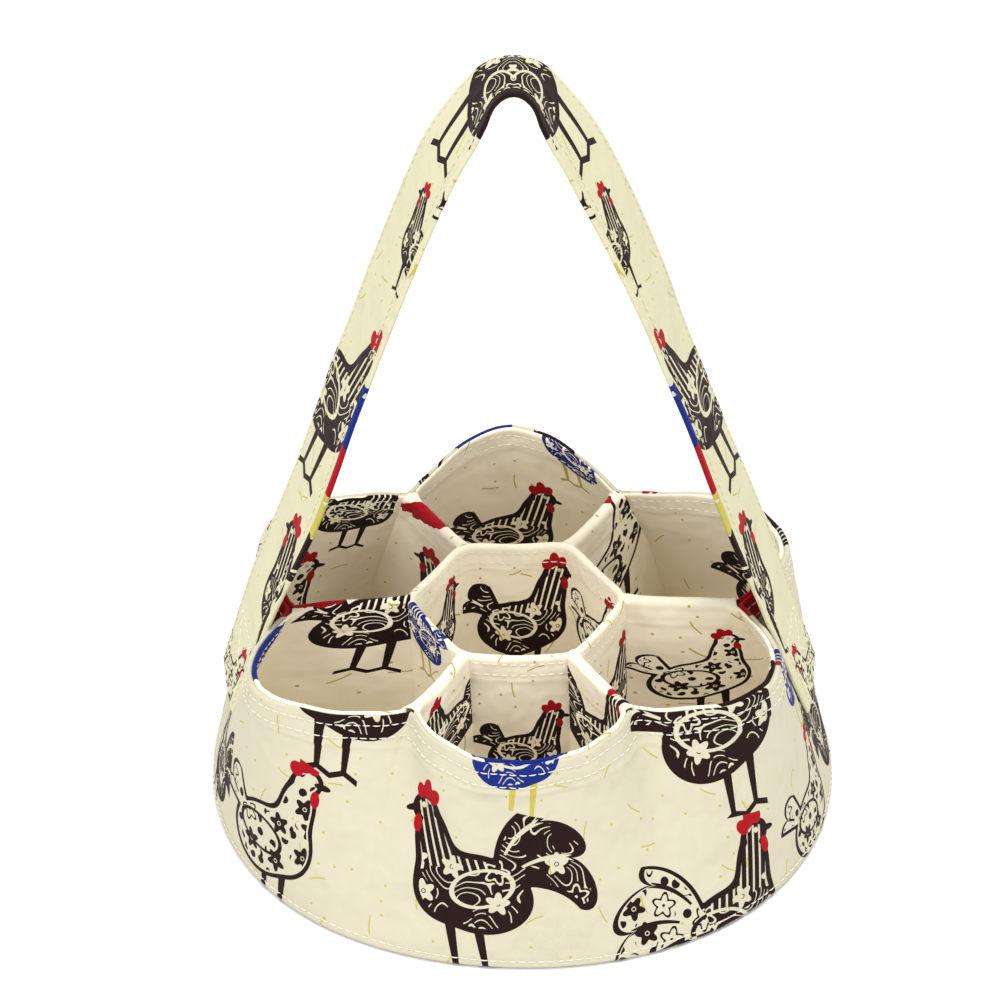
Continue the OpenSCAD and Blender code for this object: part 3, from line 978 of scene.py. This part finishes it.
BASE_CUT = 250
FELT_R = box_mm("base_felt")[1][0]
pts, u, v = build_disc(BASE_R - 3.6, FLOOR_Z, True, 0.12)
lining_disc = sheet_object(
    "base_lining_cloth", pts, u + PRINT_STEP * (SLEEVE_PLACE + 1), v, INNER_T, inner_cotton,
    wrap=True)
finish_piece(
    lining_disc, ["base_lining"], cut=(BASE_CUT, BASE_CUT))
pts, u, v = build_disc(BASE_R - 2.4, 0.0, False, 0.0)
base_disc = sheet_object("base_outer_cloth", pts, u, v, BASE_T, wall_cotton, wrap=True)
finish_piece(
    base_disc, ["base_outer"], cut=(BASE_CUT, BASE_CUT))
pts, u, v = build_disc(FELT_R, FELT_HIGH, True, 0.0)
felt_disc = sheet_object("base_felt_disc", pts, u, v, FELT_HIGH - FELT_LOW, felt, wrap=True)
finish_piece(
    felt_disc, ["base_felt"], cut=(2 * FELT_R, 2 * FELT_R))

# ---- the strap
STRAP_LEAN = math.radians(20.8)
CROWN_R = 20.5
CROWN_Z = STRAP_TOP - CLOTH - CROWN_R
CROWN_TILT = -0.13
RIPPLE_W = 19  # half the width that the cloth's cupping was made for

# By height: how far the strap's two edges are turned apart, how far its legs stand out from
# straight ones, and how far the whole strap lies to the right
TWIST = (
    (37, 6.0), (60, 7.5), (120, 10.0), (160, 9.6), (200, 10.4), (220, 11.4), (245, 11.8),
    (270, 11.9), (286, 9.7), (297, 6.0), (305, 0.0),
)
SPREAD = (
    (37, -1.6), (60, -0.8), (85, 0), (125, 0), (140, 0.2), (155, 0.5), (170, 1.0), (184, 1.0),
    (198, 1.3), (212, 2.0), (226, 2.2), (240, 2.3), (252, 1.9), (264, 1.2), (271, 0.4),
    (278, -0.6), (285, -1.8), (292, -3.2), (298, -3.6), (302, -2.4), (305, -0.6),
)
SIDEWAYS = (
    (37, 0), (80, 0.5), (130, 1.3), (155, 1.0), (185, 0.2), (212, -0.1), (250, -0.9),
    (270, -1.5), (305, -1.7),
)


def strap_path(step=2.0):
    """The strap's middle line from its left foot over the crown to its right foot, with the
    directions across the strap and out of it."""
    join_x = CROWN_R * math.cos(STRAP_LEAN)
    join_z = CROWN_Z + CROWN_R * math.sin(STRAP_LEAN)
    leg = (join_z - STRAP_FOOT) / math.cos(STRAP_LEAN)
    arc = CROWN_R * (math.pi / 2 - STRAP_LEAN)
    half = leg + arc
    s = np.linspace(-half, half, 2 * int(half / step) + 1)
    d = np.abs(s)
    phi = d / CROWN_R
    below = d - arc
    x = np.where(d < arc, CROWN_R * np.sin(phi), join_x + below * math.sin(STRAP_LEAN))
    z = np.where(d < arc, CROWN_Z + CROWN_R * np.cos(phi), join_z - below * math.cos(STRAP_LEAN))
    x = x * (1 - 0.10 * np.exp(-((z - 293) / 9.0) ** 2)) + np.interp(z, *zip(*SPREAD))
    x = np.pad(np.sign(s) * np.maximum(x, 0), 3, mode="reflect", reflect_type="odd")
    x = np.convolve(x, np.full(7, 1 / 7), "valid")
    z = z + 1.2 * np.exp(-(x / 16) ** 2)
    line = np.stack([x, 0 * x, z], 1)
    tangent = unit(np.gradient(line, axis=0))
    heights, lean = zip(*TWIST)
    across_x = np.sign(s) * np.interp(z, heights, lean) / STRAP_W
    across_z = CROWN_TILT * np.exp(-(x / 13) ** 2)
    width = np.stack([across_x, np.ones_like(x), across_z], 1)
    width = unit(width - tangent * np.sum(width * tangent, 1, keepdims=True))
    line[:, 0] += np.interp(z, *zip(*SIDEWAYS))
    return s, line, width, np.cross(tangent, width)


def strap_ripple(s, t, z):
    """How far the cloth stands out: cupped across its width, and waved above its sewn ends."""
    share = t / RIPPLE_W
    wave = 0.5 * np.sin(s / 33.0 + 0.6) * share + 0.4 * np.sin(s / 21.0 + 2.0) * share ** 2
    return 0.5 * (1 - share ** 2) + wave * smoothstep(60, 110, z)


def strap_sheet(section):
    """section lists (t, n): across the strap from front to back, and outward."""
    s, line, width, normal = strap_path()
    t, n = np.array(section).T
    S, T = np.meshgrid(s, t, indexing="ij")
    offset = n[None, :] + strap_ripple(S, T, line[:, 2][:, None])
    points = line[:, None] + width[:, None] * T[..., None] + normal[:, None] * offset[..., None]
    return points, T, -np.abs(S)


def around(cx, cn, r, start, stop):
    """The rounded edge of a section, as an arc about (cx, cn)."""
    angles = np.radians(np.linspace(start, stop, 7))
    return [(cx + r * math.cos(a), cn + r * math.sin(a)) for a in angles]


EDGE = STRAP_W / 2
INNER_PRINT = 300
outer_section = (
    [(t, 1.0) for t in np.linspace(-EDGE + 2.5, EDGE - 1.0, 32)]
    + around(EDGE - 1.0, 0.1, 0.9, 90, -90)[1:]
    + [(t, -0.8) for t in np.linspace(EDGE - 1.0, EDGE - 6, 6)[1:]]
)
inner_section = (
    [(t, -0.8) for t in np.linspace(EDGE - 6.4, -EDGE + 1.0, 32)]
    + around(-EDGE + 1.0, 0.15, 0.95, 270, 90)[1:]
    + [(t, 1.1) for t in np.linspace(-EDGE + 1.0, -EDGE + 2.3, 3)[1:]]
)
pts, u, v = strap_sheet(outer_section)
strap_outer = sheet_object("strap_outer_cloth", pts, u, v, INNER_T, strap_cotton)
finish_piece(
    strap_outer, ["strap_outer_layer", "strap_end_left", "strap_end_right"],
    "blend", cut=(600, 45))
pts, u, v = strap_sheet(inner_section)
strap_inner = sheet_object("strap_inner_cloth", pts, u + INNER_PRINT, v, INNER_T, strap_cotton)
finish_piece(
    strap_inner, ["strap_inner_layer"], "blend", cut=(600, 37))

# ---- sewing thread
THREAD_R = 0.22
STITCH, GAP = 2.9, 0.65


def stitches(rows):
    """The middle lines of the stitches along each row, whose ends sink into the cloth."""
    middles, ups = [], []
    shares = np.linspace(0, 1, 6)
    for place, direction in rows:
        run = np.concatenate([[0], np.cumsum(np.linalg.norm(np.diff(place, axis=0), axis=1))])
        count = max(1, int(run[-1] / (STITCH + GAP)))
        starts = np.arange(count) * run[-1] / count + rng.uniform(-0.12, 0.12, count)
        at = np.clip(starts[:, None] + GAP / 2 + shares[None] * STITCH, 0, run[-1])
        centre = np.stack([np.interp(at, run, place[:, k]) for k in range(3)], -1)
        normal = unit(np.stack([np.interp(at, run, direction[:, k]) for k in range(3)], -1))
        lift = -0.12 + 0.34 * np.sin(np.pi * shares) ** 0.7
        middles.append(centre + normal * lift[None, :, None])
        ups.append(normal)
    return np.concatenate(middles), np.concatenate(ups)


def thread_object(name, rows, material=thread):
    """One mesh of short capsules of thread."""
    middle, up = stitches(rows)
    count, rings = middle.shape[:2]
    sides = 6
    tangent = unit(np.gradient(middle, axis=1))
    side = unit(np.cross(tangent, up))
    radius = THREAD_R * np.array([0.45, 0.9, 1.0, 1.0, 0.9, 0.45])
    turn = np.arange(sides) * 2 * np.pi / sides
    ring = (
        side[:, :, None] * np.cos(turn)[None, None, :, None]
        + up[:, :, None] * np.sin(turn)[None, None, :, None]
    )
    verts = middle[:, :, None] + ring * radius[None, :, None, None]
    base = np.arange(count)[:, None, None] * rings * sides
    r, k = np.meshgrid(np.arange(rings - 1), np.arange(sides), indexing="ij")
    quads = np.stack([r * sides + k, r * sides + (k + 1) % sides,
                      (r + 1) * sides + (k + 1) % sides, (r + 1) * sides + k], -1).reshape(-1, 4)
    quads = (base + quads[None]).reshape(-1, 4)
    caps = []
    for i in range(count):
        first = i * rings * sides
        last = first + (rings - 1) * sides
        caps.append([first + j for j in range(sides)][::-1])
        caps.append([last + j for j in range(sides)])
    mesh = bpy.data.meshes.new(name)
    mesh.from_pydata((verts.reshape(-1, 3) * MM).tolist(), [], quads.tolist() + caps)
    mesh.materials.append(material)
    mesh.polygons.foreach_set("use_smooth", [True] * len(mesh.polygons))
    mesh.update()
    piece = bpy.data.objects.new(name, mesh)
    bpy.context.scene.collection.objects.link(piece)
    return piece


for name, group, node in (
    ("rim_thread_upper", "upper", "rim_stitches_upper"),
    ("rim_thread_lower", "lower", "rim_stitches_lower"),
    ("divider_thread", "divider", "divider_stitches"),
    ("sleeve_thread", "centre", "centre_stitches"),
):
    finish_piece(thread_object(name, stitch_rows[group]), [node])

around_base = np.arange(0, 360.5, 0.5)
seam_z = np.full(around_base.shape, 3.2)
place = settle(polar(wall_radius(around_base, seam_z) + 0.12, around_base, seam_z))
outward = polar(np.ones_like(around_base), around_base, 0 * around_base)
finish_piece(thread_object("base_thread", [(place, outward)]), ["base_stitches"])


def on_strap(s_values, t_values):
    """Points on the strap's outer face and its normals there."""
    s, *tables = strap_path()
    line, width, normal = (
        np.stack([np.interp(s_values, s, table[:, k]) for k in range(3)], -1) for table in tables)
    offset = 1.0 + strap_ripple(s_values, t_values, line[:, 2])
    return settle(line + width * t_values[:, None] + normal * offset[:, None]), unit(normal)


half_strap = strap_path()[0][-1]
all_along = np.linspace(-half_strap + 1, half_strap - 1, 700)
edge_rows = [on_strap(all_along, np.full(len(all_along), t)) for t in (-13.6, 16.2)]
finish_piece(
    thread_object("strap_thread", edge_rows, strap_yarn), ["strap_edge_stitches"],
    "blend")

# A square with its two diagonals on each end of the strap: every line's two ends, as
# (across the strap, past its end)
TACK_LINES = (
    ((-12, -6), (12, -6)), ((12, -6), (12, -30)), ((12, -30), (-12, -30)),
    ((-12, -30), (-12, -6)), ((-12, -6), (12, -30)), ((12, -6), (-12, -30)),
)
share = np.linspace(0, 1, 40)
for side, name in ((-1, "left"), (1, "right")):
    rows = [
        on_strap(side * (half_strap + h0 + (h1 - h0) * share), t0 + (t1 - t0) * share)
        for (t0, h0), (t1, h1) in TACK_LINES
    ]
    finish_piece(
        thread_object("tack_thread_" + name, rows), ["tack_stitches_" + name], "blend")
